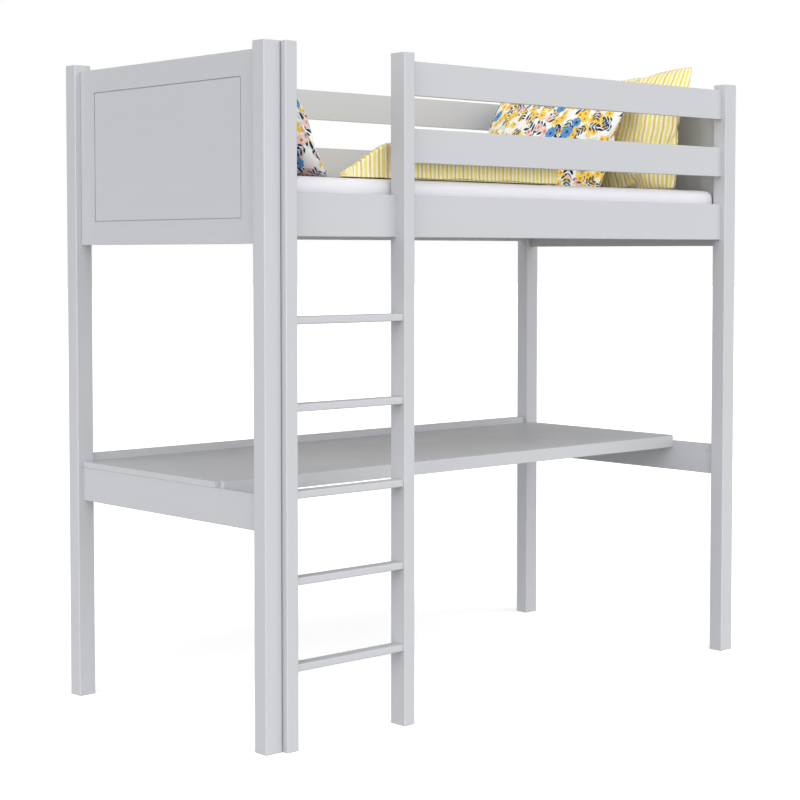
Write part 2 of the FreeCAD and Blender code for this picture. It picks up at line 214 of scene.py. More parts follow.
def finish_frame():
    """Gives every CAD node of the frame its material, with the grain along its longest side."""
    paint = {axis: painted_wood(axis) for axis in "XYZ"}
    pine = {axis: bare_pine(axis) for axis in "XY"}
    others = {"zinc_steel": zinc_steel(), "cam_caps": cam_plastic()}
    slots = {s["node"]: s["material_slot"] for s in frame["record"]["subparts"]}
    for name, piece in frame["nodes"].items():
        low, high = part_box(name)
        size = high - low
        longest = "XYZ"[max(range(3), key=lambda i: size[i])]
        kind = slots[name]
        if kind == "painted_wood":
            material = paint[longest]
        elif kind == "bare_wood":
            material = pine.get(longest, pine["X"])
        else:
            material = others.get(kind)
        if material:
            piece.material_slots[0].material = material


# ---- Materials of the bedding ----

THREAD_PITCH = 0.0006
THREAD_RELIEF = 0.00012
SHEET_PITCH = 0.0009
SHEET_RELIEF = 0.00015
CREASE = (26, 0.0025, 0.5)  # creases per metre, their depth in metres, and the relief's strength
FOLD = (8, 0.012, 0.45)  # the same for the broad folds
SHEET_WHITE = ((0.73, 0.725, 0.765, 1), (0.79, 0.78, 0.82, 1))

STRIPE_REPEAT = 0.035
STRIPE_WOBBLE = 0.16  # how far a stripe's edge wanders, as a share of the repeat
STRIPE_EDGE = 0.03  # width of a stripe's soft edge, as a share of the repeat
LEMON_BAND = (0.25, 0.15)  # middle and half width in the repeat
OCHRE_BAND = (0.75, 0.10)
GROUND = (0.86, 0.83, 0.74, 1)
LEMON = (0.80, 0.70, 0.11, 1)
OCHRE = (0.76, 0.51, 0.06, 1)

# The meadow print
PRINT_GROUND = (0.86, 0.85, 0.82, 1)
MIST = (0.62, 0.74, 0.68, 1)
NAVY = (0.010, 0.022, 0.070, 1)
INK = (0.02, 0.06, 0.13, 1)
CORAL = ((0.78, 0.44, 0.38, 1), (0.84, 0.66, 0.60, 1))  # in the brush strokes and between them
CORAL_HEART = (0.58, 0.16, 0.12, 1)
GOLD = ((0.82, 0.50, 0.04, 1), (0.88, 0.70, 0.12, 1))
GOLD_HEART = (0.72, 0.20, 0.05, 1)
BLUE = ((0.03, 0.17, 0.42, 1), (0.16, 0.40, 0.70, 1))
BLUE_HEART = (0.02, 0.06, 0.20, 1)
HEART_SHARE = 0.28  # radius of a flower's middle, as a share of the flower's
LEAF_SLANT = 0.75
LEAF_OFF = 0.66  # from the stalk to a leaf's middle, as a share of the leaves' pitch
LEAF_REACH = 0.60  # half a leaf's length, as a share of the pitch
LEAF_WIDTH = 0.36  # half a leaf's width, as a share of the pitch
STALK = 0.0008  # half the stalk's thickness
STALK_REACH = 0.36  # half a sprig's length, as a share of the sprigs' spacing


def cloth_point(tree):
    """A point's place in the flat cloth, in metres."""
    return node(tree, "ShaderNodeUVMap", uv_map="cloth").outputs["UV"]


def weave(tree, point, pitch, relief):
    """The relief of plain weave with a thread pitch in metres, as a normal."""
    parts = node(tree, "ShaderNodeSeparateXYZ", {"Vector": point}).outputs
    warp = math_node(tree, "SINE", math_node(tree, "MULTIPLY", parts["X"], 2 * math.pi / pitch))
    weft = math_node(tree, "SINE", math_node(tree, "MULTIPLY", parts["Y"], 2 * math.pi / pitch))
    threads = math_node(tree, "MULTIPLY", warp, weft)
    slub = noise_at(tree, point, 900, 2, 0.6)
    height = math_node(tree, "MULTIPLY_ADD", slub, 0.8, threads)
    return bump(tree, height, relief, 0.5)


def cotton(name, pitch=THREAD_PITCH, relief=THREAD_RELIEF):
    """A cotton material's tree, with its weave and soft creases."""
    material, tree, shader = new_material(name)
    point = cloth_point(tree)
    crease = noise_at(tree, point, CREASE[0], 4, 0.6)
    fold = noise_at(tree, point, FOLD[0], 2, 0.5)
    normal = bump(tree, crease, CREASE[1], CREASE[2], weave(tree, point, pitch, relief))
    normal = bump(tree, fold, FOLD[1], FOLD[2], normal)
    rough = spread_range(tree, crease, 0.3, 0.7, 0.78, 0.92)
    wire(tree, shader, Roughness=rough, Normal=normal)
    shader.inputs["Sheen Weight"].default_value = 0.12
    shader.inputs["Sheen Roughness"].default_value = 0.5
    shader.inputs["Specular IOR Level"].default_value = 0.25
    return material, tree, shader, point


def white_sheet():
    """Bright white stretch cotton."""
    material, tree, shader, point = cotton("white_cotton", SHEET_PITCH, SHEET_RELIEF)
    patch = noise_at(tree, point, 9, 3, 0.5)
    colour = mix_colour(tree, patch, *SHEET_WHITE)
    wire(tree, shader, Base_Color=colour)
    return material


def band(tree, place, centre, half_width):
    """1 inside a band of a repeat from 0 to 1, with a slightly soft edge."""
    away = math_node(tree, "ABSOLUTE", math_node(tree, "SUBTRACT", place, centre))
    return spread_range(tree, away, half_width, half_width + STRIPE_EDGE, 1.0, 0.0)


def striped_cotton():
    """Brushed lemon and ochre stripes on white, each a little uneven like paint."""
    material, tree, shader, point = cotton("striped_cotton")
    parts = node(tree, "ShaderNodeSeparateXYZ", {"Vector": point}).outputs
    drawn_out = node(tree, "ShaderNodeMapping", {"Vector": point, "Scale": (1, 0.35, 1)})
    wobble = noise_at(tree, drawn_out.outputs[0], 55, 2)
    repeats = math_node(tree, "DIVIDE", parts["X"], STRIPE_REPEAT)
    place = math_node(tree, "FRACT", math_node(tree, "MULTIPLY_ADD", wobble, STRIPE_WOBBLE, repeats))
    brush = noise_at(tree, point, 160, 3, 0.6)
    thin_lemon = spread_range(tree, brush, 0.25, 0.55, 0.7, 1.0)
    thin_ochre = spread_range(tree, brush, 0.25, 0.55, 0.75, 1.0)
    lemon = math_node(tree, "MULTIPLY", band(tree, place, *LEMON_BAND), thin_lemon)
    ochre = math_node(tree, "MULTIPLY", band(tree, place, *OCHRE_BAND), thin_ochre)
    colour = mix_colour(tree, lemon, GROUND, LEMON)
    colour = mix_colour(tree, ochre, colour, OCHRE)
    wire(tree, shader, Base_Color=colour)
    return material


def vector_node(tree, operation, values):
    """A vector maths node's result."""
    return node(tree, "ShaderNodeVectorMath", values, operation=operation).outputs[0]


def scatter(tree, point, spacing, seed):
    """Motifs scattered a spacing apart: each point's place from its motif's middle in metres,
    turned by a random angle, and three random numbers of that motif."""
    offset = vector_node(tree, "ADD", {0: point, 1: (seed, 0.7 * seed, 0)})
    scaled = vector_node(tree, "SCALE", {0: offset, "Scale": 1 / spacing})
    cell_values = {"Vector": scaled, "Scale": 1.0, "Randomness": 0.8}
    cells = node(tree, "ShaderNodeTexVoronoi", cell_values, voronoi_dimensions="2D").outputs
    away = vector_node(tree, "SUBTRACT", {0: scaled, 1: cells["Position"]})
    away = vector_node(tree, "SCALE", {0: away, "Scale": spacing})
    chance = node(tree, "ShaderNodeSeparateColor", {"Color": cells["Color"]}).outputs
    angle = math_node(tree, "MULTIPLY", chance[2], 2 * math.pi)
    turn_values = {"Vector": away, "Angle": angle}
    turned = node(tree, "ShaderNodeVectorRotate", turn_values, rotation_type="Z_AXIS").outputs[0]
    return turned, chance


def polar(tree, vector):
    """Distance and angle of a vector from its motif's middle."""
    parts = node(tree, "ShaderNodeSeparateXYZ", {"Vector": vector}).outputs
    distance = node(tree, "ShaderNodeVectorMath", {0: vector}, operation="LENGTH").outputs["Value"]
    return distance, math_node(tree, "ARCTAN2", parts["Y"], parts["X"])


def inside(tree, value, limit, soft):
    """1 where a value is under a limit, falling to 0 over a soft edge."""
    over = math_node(tree, "SUBTRACT", value, limit)
    return spread_range(tree, over, -soft, soft, 1.0, 0.0)


def blossom(tree, point, spacing, radius, petals, depth, seed):
    """Round flowers: a mask of their petals, one of their middles, and random numbers of each."""
    vector, chance = scatter(tree, point, spacing, seed)
    distance, angle = polar(tree, vector)
    wave = math_node(tree, "COSINE", math_node(tree, "MULTIPLY", angle, petals))
    rim = math_node(tree, "MULTIPLY_ADD", wave, radius * depth, radius * (1 - depth))
    rim = math_node(tree, "MULTIPLY", rim, spread_range(tree, chance[1], 0, 1, 0.8, 1.15))
    petal = inside(tree, distance, rim, 0.0006)
    heart = inside(tree, distance, radius * HEART_SHARE, 0.0009)
    return petal, heart, chance


def sprig(tree, point, spacing, pitch, seed):
    """Leafy stems: pairs of slanted leaves, a pitch apart, along a thin stalk."""
    vector, chance = scatter(tree, point, spacing, seed)
    parts = node(tree, "ShaderNodeSeparateXYZ", {"Vector": vector}).outputs
    along = parts["X"]
    off = math_node(tree, "ABSOLUTE", parts["Y"])
    slanted = math_node(tree, "MULTIPLY_ADD", off, -LEAF_SLANT, along)
    step = math_node(tree, "FRACT", math_node(tree, "DIVIDE", slanted, pitch))
    near = math_node(tree, "MULTIPLY", math_node(tree, "SUBTRACT", step, 0.5), 1 / LEAF_WIDTH)
    out = math_node(tree, "SUBTRACT", off, LEAF_OFF * pitch)
    out = math_node(tree, "DIVIDE", out, LEAF_REACH * pitch)
    near_square = math_node(tree, "MULTIPLY", near, near)
    oval = math_node(tree, "ADD", near_square, math_node(tree, "MULTIPLY", out, out))
    leaf = inside(tree, oval, 1.0, 0.12)
    stalk = inside(tree, off, STALK, 0.0003)
    shape = math_node(tree, "MAXIMUM", leaf, stalk)
    ends = inside(tree, math_node(tree, "ABSOLUTE", along), STALK_REACH * spacing, 0.0006)
    return math_node(tree, "MULTIPLY", shape, ends), chance


def chosen(tree, mask, number, share):
    """A mask kept only on a share of its motifs."""
    keep = math_node(tree, "LESS_THAN", number, share)
    return math_node(tree, "MULTIPLY", mask, keep)


def floral_cotton(name, yellow):
    """A loose meadow print on white: yellow and coral blossoms in drifts, blue heads, navy sprigs.
    A higher yellow level gives a stretch of cloth with more of the yellow ones."""
    material, tree, shader, point = cotton(name)
    drift = noise_at(tree, point, 6.5, 1, 0.4)
    in_yellow = inside(tree, drift, yellow, 0.004)
    in_coral = math_node(tree, "SUBTRACT", 1.0, in_yellow)
    brushed = spread_range(tree, noise_at(tree, point, 190, 3, 0.6), 0.35, 0.65, 0, 1)

    def sprigs(below, ink, share, spacing, pitch, seed):
        leaves, chance = sprig(tree, point, spacing, pitch, seed)
        return mix_colour(tree, chosen(tree, leaves, chance[0], share), below, ink)

    def flowers(below, tones, heart_tone, share, where=None, **shape):
        mask, heart, chance = blossom(tree, point, **shape)
        tone = mix_colour(tree, heart, mix_colour(tree, brushed, *tones), heart_tone)
        mask = chosen(tree, mask, chance[0], share)
        if where is not None:
            mask = math_node(tree, "MULTIPLY", mask, where)
        return mix_colour(tree, mask, below, tone)

    mist, _, chance = blossom(tree, point, spacing=0.085, radius=0.030, petals=4, depth=0.30, seed=3.1)
    colour = mix_colour(tree, chosen(tree, mist, chance[0], 0.45), PRINT_GROUND, MIST)
    colour = sprigs(colour, NAVY, 0.80, spacing=0.078, pitch=0.019, seed=5.3)
    colour = flowers(
        colour, CORAL, CORAL_HEART, 0.46, in_coral,
        spacing=0.034, radius=0.0185, petals=5, depth=0.09, seed=1.9,
    )
    colour = flowers(
        colour, GOLD, GOLD_HEART, 0.80, in_yellow,
        spacing=0.031, radius=0.0175, petals=5, depth=0.10, seed=7.4,
    )
    colour = sprigs(colour, INK, 0.50, spacing=0.050, pitch=0.0135, seed=9.7)
    colour = flowers(
        colour, BLUE, BLUE_HEART, 0.55,
        spacing=0.105, radius=0.0225, petals=9, depth=0.07, seed=11.2,
    )
    wire(tree, shader, Base_Color=colour)
    return material


# ---- Cloth ----

BACK_PANEL_SHIFT = (0.61, 0.37)  # so that the print isn't the same on both sides of a pouch
SEAM_SIDES = 6
SEAM_STAND = 0.4  # how far the rolled edge stands out from the cloth, as a share of its radius
SEAM_CLOTH = (0.009, 0.001)  # the cloth along and round each facet of the rolled edge


def pouch_points(columns, rows):
    """Grid places of a pouch: both panels, and the border that they share."""
    for side in (1, -1):
        for i in range(columns + 1):
            for j in range(rows + 1):
                border = i in (0, columns) or j in (0, rows)
                if side == 1 or not border:
                    yield side, i, j


def border_places(columns, rows):
    """The border's grid places in order, once round."""
    places = [(i, 0) for i in range(columns)]
    places += [(columns, j) for j in range(rows)]
    places += [(i, rows) for i in range(columns, 0, -1)]
    places += [(0, j) for j in range(rows, 0, -1)]
    return places


def pouch(name, width, height, step, shape):
    """Two panels of cloth sewn together at the border, with each point's place in the flat
    cloth as its UV in metres. shape(across, up, side) places a point; both run from -1 to 1."""
    columns = round(width / step)
    rows = round(height / step)
    mesh_maker = bmesh.new()
    flat = mesh_maker.loops.layers.uv.new("cloth")
    points = {}
    for side, i, j in pouch_points(columns, rows):
        place = shape(2 * i / columns - 1, 2 * j / rows - 1, side)
        points[side, i, j] = mesh_maker.verts.new(place)
    for side in (1, -1):
        for i in range(columns):
            for j in range(rows):
                corners = [(i, j), (i + 1, j), (i + 1, j + 1), (i, j + 1)][::side]
                verts = [points.get((side, *c)) or points[1, *c] for c in corners]
                face = mesh_maker.faces.new(verts)
                back = (1 - side) / 2
                for loop, (a, b) in zip(face.loops, corners):
                    u = a * width / columns + BACK_PANEL_SHIFT[0] * back
                    v = b * height / rows + BACK_PANEL_SHIFT[1] * back
                    loop[flat].uv = (u, v)
    order = [points[1, i, j] for i, j in border_places(columns, rows)]
    mesh_maker.verts.index_update()
    border = [v.index for v in order]
    mesh = bpy.data.meshes.new(name)
    mesh_maker.to_mesh(mesh)
    mesh_maker.free()
    piece = bpy.data.objects.new(name, mesh)
    bpy.context.scene.collection.objects.link(piece)
    return piece, border


def points_of(piece):
    """A piece's points as an array."""
    values = np.empty(3 * len(piece.data.vertices))
    piece.data.vertices.foreach_get("co", values)
    return values.reshape(-1, 3)


def set_points(piece, points):
    """Writes an array of points to a piece."""
    piece.data.vertices.foreach_set("co", np.asarray(points).ravel())
    piece.data.update()


def simulate(piece, pressure, frames, **settings):
    """Blows the cloth up for a number of frames, and keeps the result as its mesh."""
    cloth = piece.modifiers.new("cloth", "CLOTH")
    cloth.settings.quality = 6
    cloth.settings.mass = 0.15
    cloth.settings.tension_stiffness = 20
    cloth.settings.compression_stiffness = 20
    cloth.settings.shear_stiffness = 8
    cloth.settings.bending_stiffness = 0.25
    cloth.settings.air_damping = 2
    cloth.settings.use_pressure = True
    cloth.settings.uniform_pressure_force = pressure
    cloth.settings.effector_weights.gravity = 0
    cloth.collision_settings.use_collision = False
    for key, value in settings.items():
        setattr(cloth.settings, key, value)
    scene = bpy.context.scene
    for number in range(1, frames + 1):
        scene.frame_set(number)
    graph = bpy.context.evaluated_depsgraph_get()
    shaped = piece.evaluated_get(graph)
    mesh = bpy.data.meshes.new_from_object(shaped, preserve_all_data_layers=True, depsgraph=graph)
    piece.modifiers.remove(cloth)
    piece.data = mesh
    scene.frame_set(1)


def soft_floor(heights, floor, give):
    """Heights pressed flat on a floor, with a rounded turn of about give."""
    over = heights - floor
    return floor + 0.5 * (over + np.sqrt(over * over + give * give))


def add_seam_roll(piece, border, radius):
    """The rolled edge of the seam: a thin closed tube along the border."""
    path = points_of(piece)[border]
    count = len(path)
    ahead = np.roll(path, -1, axis=0) - np.roll(path, 1, axis=0)
    ahead /= np.linalg.norm(ahead, axis=1)[:, None]
    middle = path.mean(axis=0)
    out = path - middle
    out -= (out * ahead).sum(axis=1)[:, None] * ahead
    out /= np.linalg.norm(out, axis=1)[:, None]
    side = np.cross(ahead, out)
    maker = bmesh.new()
    maker.from_mesh(piece.data)
    flat = maker.loops.layers.uv["cloth"]
    rings = []
    for k in range(SEAM_SIDES):
        turn = 2 * math.pi * k / SEAM_SIDES
        round_path = math.cos(turn) * out + math.sin(turn) * side
        ring = path + radius * round_path + SEAM_STAND * radius * out
        rings.append([maker.verts.new(p) for p in ring])
    for k in range(SEAM_SIDES):
        for i in range(count):
            j = (i + 1) % count
            m = (k + 1) % SEAM_SIDES
            face = maker.faces.new((rings[k][i], rings[m][i], rings[m][j], rings[k][j]))
            for loop, along, about in zip(face.loops, (i, i, i + 1, i + 1), (k, k + 1, k + 1, k)):
                loop[flat].uv = (SEAM_CLOTH[0] * along, SEAM_CLOTH[1] * about)
    bmesh.ops.recalc_face_normals(maker, faces=maker.faces)
    maker.to_mesh(piece.data)
    maker.free()


def dress(piece, cad_node, material):
    piece.data.polygons.foreach_set("use_smooth", [True] * len(piece.data.polygons))
    smooth = piece.modifiers.new("smooth", "SUBSURF")
    smooth.levels = 1
    smooth.render_levels = 1
    piece.data.materials.append(material)
    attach(piece, BEDDING)
    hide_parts(cad_node)


# ---- Pillows ----

CLOTH_STEP = 0.010
CORNER_PULL = 0.065  # how far the corners are rounded in, as a share of the half size
CORNER_POWER = 5  # how close to the corner that starts
START_BELLY = 0.32  # half the thickness before the pressure, as a share of the thickness after it
LUMPS = 0.5  # how uneven the filling is at the start, as a share of its thickness
PILLOW_PRESSURE = 2.0
PILLOW_FRAMES = 20
PILLOW_SHRINK = -0.03  # negative lets the cloth grow
FILLING_MIDDLE = 1.04  # thickness of the filling half way up, as a share of the given one
FILLING_SAG = 0.30  # how much thicker it is at the foot than at the top
PILLOW_ROLL = 0.0014  # radius of the seam's rolled edge
SINK = 0.012  # how deep the foot would reach into the mattress, before it is pressed flat
FOOT_TURN = 0.008  # how round the pressed foot turns up
EDGE_EASE = 0.30  # how much of the seams' inward bow is let out again
EDGE_ZONE = 0.8  # where on the half size the seam's edges start


def pillow_shape(width, height, belly, seed):
    """A flat pillow case with slightly round corners and a little uneven filling."""
    def shape(across, up, side):
        corner = (abs(across) * abs(up)) ** CORNER_POWER
        x = across * width / 2 * (1 - CORNER_PULL * corner)
        y = up * height / 2 * (1 - CORNER_PULL * corner)
        dome = (1 - across ** 4) * (1 - up ** 4)
        lump = noise.noise(Vector((4 * across + seed, 3 * up, side)))
        return x, y, side * dome * belly * (1 + LUMPS * lump)
    return shape


def straighten(local, seam, size, axis):
    """Lets out the inward bow of the two seams that face along an axis of a flat pillow."""
    other = 1 - axis
    reach = size[axis] / 2
    for sign in (-1, 1):
        outer = sign * seam[:, axis] > EDGE_ZONE * reach
        edge = seam[outer & (abs(seam[:, other]) < size[other] / 2)]
        edge = edge[np.argsort(edge[:, other])]
        full = abs(edge[:, axis]).max()
        bow = np.interp(local[:, other], edge[:, other], full / abs(edge[:, axis]))
        on_side = sign * local[:, axis] > 0
        local[on_side, axis] *= 1 + EDGE_EASE * (bow[on_side] - 1)


def lowest_along(points, bands=24):
    """How far the foot of each point's own stretch of width is above the lowest foot of all."""
    lo = points[:, 1].min()
    spread = np.ptp(points[:, 1])
    which = np.minimum((bands * (points[:, 1] - lo) / spread).astype(int), bands - 1)
    feet = np.array([points[which == k, 2].min() for k in range(bands)])
    centres = lo + spread * (np.arange(bands) + 0.5) / bands
    return np.interp(points[:, 1], centres, feet) - feet.min()


def pillow(cad_node, material, size, lean, roll=0.0, bow=0.0, nudge=0.0, seed=1.0):
    """A filled pillow case of a width, height and thickness, with its foot on the mattress. It is
    turned in its own plane by roll degrees, and leans by lean degrees, to the right if positive.
    Half way up it stands out to the left by bow, and nudge moves it along the bed."""
    width, height, thickness = size
    flat_case = pillow_shape(width, height, START_BELLY * thickness, seed)
    piece, border = pouch(cad_node + "_case", width, height, CLOTH_STEP, flat_case)
    simulate(piece, PILLOW_PRESSURE, PILLOW_FRAMES, shrink_min=PILLOW_SHRINK)
    local = points_of(piece)
    seam = local[border].copy()
    straighten(local, seam, size, 0)
    straighten(local, seam, size, 1)
    thick = local[:, 2].max() - local[:, 2].min()
    up = local[:, 1] / height
    local[:, 2] *= thickness / thick * (FILLING_MIDDLE - FILLING_SAG * up)
    set_points(piece, local)
    add_seam_roll(piece, border, PILLOW_ROLL)
    local = points_of(piece)
    turn = math.radians(roll)
    across, up = local[:, 0].copy(), local[:, 1].copy()
    local[:, 0] = across * math.cos(turn) - up * math.sin(turn)
    local[:, 1] = across * math.sin(turn) + up * math.cos(turn)
    low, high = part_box(cad_node)
    middle = (low + high) / 2
    tilt = math.radians(lean)
    share = 2 * local[:, 1] / height
    out = local[:, 2] + bow * (1 - share * share)
    placed = np.empty_like(local)
    placed[:, 0] = middle.x + nudge + local[:, 1] * math.sin(tilt) - out * math.cos(tilt)
    placed[:, 1] = middle.y - local[:, 0]
    placed[:, 2] = middle.z + local[:, 1] * math.cos(tilt) + out * math.sin(tilt)
    floor = MATTRESS_TOP + REST_GAP
    placed[:, 2] -= lowest_along(placed) * np.clip(0.5 - local[:, 1] / height, 0, 1) ** 2
    placed[:, 2] += floor - SINK - placed[:, 2].min()
    placed[:, 2] = soft_floor(placed[:, 2], floor, FOOT_TURN)
    set_points(piece, placed)
    dress(piece, cad_node, material)


# ---- Duvet and mattress ----


def rounded_profile(reach, radius, edge, half_height):
    """Out and up, for a length of cloth measured outward over the top of a rounded block, round
    its edge and down its side. The top's outer radius is radius, and its edge is rounded by edge."""
    flat = radius - edge
    arc = math.pi * edge / 2
    if reach <= flat:
        return reach, half_height
    if reach <= flat + arc:
        angle = (reach - flat) / edge
        return flat + edge * math.sin(angle), half_height - edge * (1 - math.cos(angle))
    return radius, half_height - edge - (reach - flat - arc)


def cloth_needed(radius, edge, height):
    """How much cloth the profile of a rounded block takes from its corner's middle to its foot."""
    return radius - edge + math.pi * edge / 2 + height - edge


def off_core(flat, core):
    """The nearest point of the core rectangle, the way outward from it, and how far out."""
    inner = Vector((max(-core.x, min(core.x, flat.x)), max(-core.y, min(core.y, flat.y))))
    out = flat - inner
    reach = max(abs(out.x), abs(out.y))
    way = out.normalized() if reach > 1e-6 else Vector((0, 0))
    return inner, way, reach


DUVET_STEP = 0.012
DUVET_CORNER = 0.034
DUVET_EDGE = 0.028
DUVET_LEFT = 0.022  # how far left of its CAD box the cloth starts
DUVET_RIGHT = 0.014  # how far inside the box it ends on the right
DUVET_PULL = 0.42  # how much further right the left edge lies at the back than at the front
PULL_DEPTH = 0.64  # how far in from the front that pull is complete
DUVET_SLANT = 0.85  # how far right the heap's foot moves for each metre towards the back
DUVET_SINK = 0.004
DUVET_TOP = 0.114
TOP_TURN = 0.012  # how round the slope turns into the top
DUVET_FOOT = 0.016  # height of the heap's blunt end at its foot
DUVET_SLOPE = 0.57  # how steeply it rises from there to its top
HEM_FRONT = 0.006  # thickness of the cloth left flat beside the heap, at the front
HEM_GROWTH = 0.040  # and how much thicker it is for each metre towards the back
RIGHT_END = 0.84  # share of the length from which the heap falls off to the right
RIGHT_RUN = 0.16  # the share of the length that is left from there
RIGHT_FALL = 0.45  # and how much of its height it loses on it
RIDGE_COUNT = 5.0
RIDGE_SWAY = 0.35
RIDGE_RELIEF = 0.17  # as shares of the heap's height
LUMP_RELIEF = 0.16
CRUMPLE_RELIEF = 0.07
RIDGE_START = 0.04  # how far in from the front edge the ridges begin
RIDGE_RUN_IN = 0.12  # and over what length they reach their full height
EDGE_RIDGES = 5.2
EDGE_SWAY = 0.12
EDGE_WAVE = 0.10  # how far the edge waves in and out with the ridges, as a share of its roundness
EDGE_MOST = 0.6  # how round the edge may be, as a share of the height there
DUVET_SPARE = 0.002  # between the height that the cloth reaches over and its CAD box's
DUVET_START = 0.001  # above its resting place before the simulation
DUVET_PRESSURE = 0.5
DUVET_FRAMES = 14
DUVET_SHRINK = -0.025
DUVET_ROLL = 0.0016
DUVET_LIMIT_TURN = 0.006
DUVET_FOOT_TURN = 0.003
DUVET_SIDE_GAP = 0.003  # between the cloth and the front and back of its CAD box


def duvet_height(place, corner):
    """The height of the heap in metres at a place: a soft wedge that rises to the right from a
    slanting foot line, which starts at the front left corner. Left of it the cloth lies thin."""
    back = max(0.0, place.y - corner.y)
    along = place.x - corner.x - DUVET_SLANT * back
    below_top = DUVET_TOP - DUVET_FOOT - DUVET_SLOPE * along
    heap = DUVET_TOP - soft_floor(below_top, 0.0, TOP_TURN)
    return max(HEM_FRONT + HEM_GROWTH * back, heap)


def ridge_wave(share, sway, count):
    """A wave from -1 to 1 with a count of uneven ridges over a share of the length from 0 to 1."""
    return math.sin(2 * math.pi * (count * share + sway + 0.2 * math.sin(5 * share)))


def puffed(place, corner, length):
    """The heap's height at a place with its soft ridges, which fade out at its front edge."""
    share = (place.x - corner.x) / length
    depth = min(1.0, max(0.0, place.y - corner.y - RIDGE_START) / RIDGE_RUN_IN)
    sway = RIDGE_SWAY * noise.noise(Vector((2.0, 3.0 * place.y, 0.4)))
    ridge = ridge_wave(share, sway, RIDGE_COUNT)
    lump = noise.noise(Vector((7 * place.x, 5 * place.y, 7.7)))
    crumple = noise.noise(Vector((19 * place.x, 11 * place.y, 2.1)))
    relief = RIDGE_RELIEF * (ridge - 1) + LUMP_RELIEF * lump + CRUMPLE_RELIEF * crumple
    return duvet_height(place, corner) * (1 + depth * relief)


def duvet():
    """A striped duvet pushed together across the bed, in soft ridges from front to back."""
    low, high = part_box("duvet")
    low.x -= DUVET_LEFT
    high.x -= DUVET_RIGHT
    half = (high - low) / 2
    middle = (low + high) / 2
    floor = MATTRESS_TOP + REST_GAP
    core = Vector((half.x - DUVET_CORNER, half.y - DUVET_CORNER))
    most = cloth_needed(DUVET_CORNER, DUVET_EDGE, high.z - low.z - DUVET_SPARE)
    width = 2 * (core.x + most)
    depth = 2 * (core.y + most)

    def shape(across, up, side):
        inner, way, reach = off_core(Vector((across * width / 2, up * depth / 2)), core)
        along = (inner.x + half.x) / (2 * half.x)
        depth_in = inner.y + half.y
        pull_share = math.sin(0.5 * math.pi * min(1.0, depth_in / PULL_DEPTH))
        pulled = DUVET_PULL * pull_share * (1 - along)
        wander = EDGE_SWAY * noise.noise(Vector((1.5, 1.3 * up, 0.4)))
        place = Vector((middle.x + inner.x + pulled, middle.y + inner.y, 0))
        fall = 1 - RIGHT_FALL * max(0.0, along - RIGHT_END) / RIGHT_RUN
        height = fall * puffed(place, low, 2 * half.x)
        edge = min(DUVET_EDGE, EDGE_MOST * height)
        share = reach / most
        if side == 1:
            needed = cloth_needed(DUVET_CORNER, edge, height)
            away, rise = rounded_profile(share * needed, DUVET_CORNER, edge, height)
        else:
            away, rise = share * DUVET_CORNER, 0.0
        away *= 1 + EDGE_WAVE * ridge_wave(along, wander, EDGE_RIDGES) * min(1.0, share)
        x = middle.x + inner.x + way.x * away + pulled
        y = middle.y + inner.y + way.y * away
        return x, y, floor + DUVET_START + rise

    piece, border = pouch("duvet_cover", width, depth, DUVET_STEP, shape)
    simulate(piece, DUVET_PRESSURE, DUVET_FRAMES, shrink_min=DUVET_SHRINK)
    add_seam_roll(piece, border, DUVET_ROLL)
    points = points_of(piece)
    limits = np.array([puffed(Vector(point), low, high.x - low.x) for point in points])
    limits += floor
    points[:, 2] = limits - soft_floor(limits - points[:, 2], 0.0, DUVET_LIMIT_TURN)
    points[:, 2] = soft_floor(points[:, 2] - DUVET_SINK, floor, DUVET_FOOT_TURN)
    points[:, 1] = np.clip(points[:, 1], low.y + DUVET_SIDE_GAP, high.y - DUVET_SIDE_GAP)
    set_points(piece, points)
    dress(piece, "duvet", striped)


MATTRESS_STEP = 0.016
MATTRESS_CORNER = 0.030
MATTRESS_EDGE = 0.024
COVER_INSET = 0.0018  # how far the cover's top lies inside the CAD box
COVER_WAVES = 0.0008
PULL_LINE_DEPTH = 0.0010
PULL_LINE_REACH = 0.16  # over what distance from a corner the pull lines fade
PULL_LINE_COUNT = 22
MATTRESS_ROLL = 0.0018


def mattress():
    """A foam mattress in a stretched white cover, with soft round edges and faint pull lines."""
    low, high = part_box("mattress")
    half = (high - low) / 2
    middle = (low + high) / 2
    core = Vector((half.x - MATTRESS_CORNER, half.y - MATTRESS_CORNER))
    needed = cloth_needed(MATTRESS_CORNER, MATTRESS_EDGE, half.z)
    width = 2 * (core.x + needed)
    depth = 2 * (core.y + needed)

    def shape(across, up, side):
        flat = Vector((across * width / 2, up * depth / 2))
        inner, way, reach = off_core(flat, core)
        away, rise = rounded_profile(reach, MATTRESS_CORNER, MATTRESS_EDGE, half.z)
        soft = noise.noise(Vector((flat.x * 5, flat.y * 7, side)))
        corner = (core - Vector((abs(flat.x), abs(flat.y)))).length
        angle = math.atan2(core.y + 0.1 - abs(flat.y), core.x + 0.1 - abs(flat.x))
        line = math.sin(PULL_LINE_COUNT * angle + 3 * soft)
        pull = PULL_LINE_DEPTH * math.exp(-corner / PULL_LINE_REACH) * line
        height = rise - rise / half.z * (COVER_INSET + COVER_WAVES * soft - pull)
        x = middle.x + inner.x + way.x * away
        y = middle.y + inner.y + way.y * away
        return x, y, middle.z + side * height

    piece, border = pouch("mattress_cover", width, depth, MATTRESS_STEP, shape)
    add_seam_roll(piece, border, MATTRESS_ROLL)
    dress(piece, "mattress", white_cotton)


# ---- Stage, light and camera ----

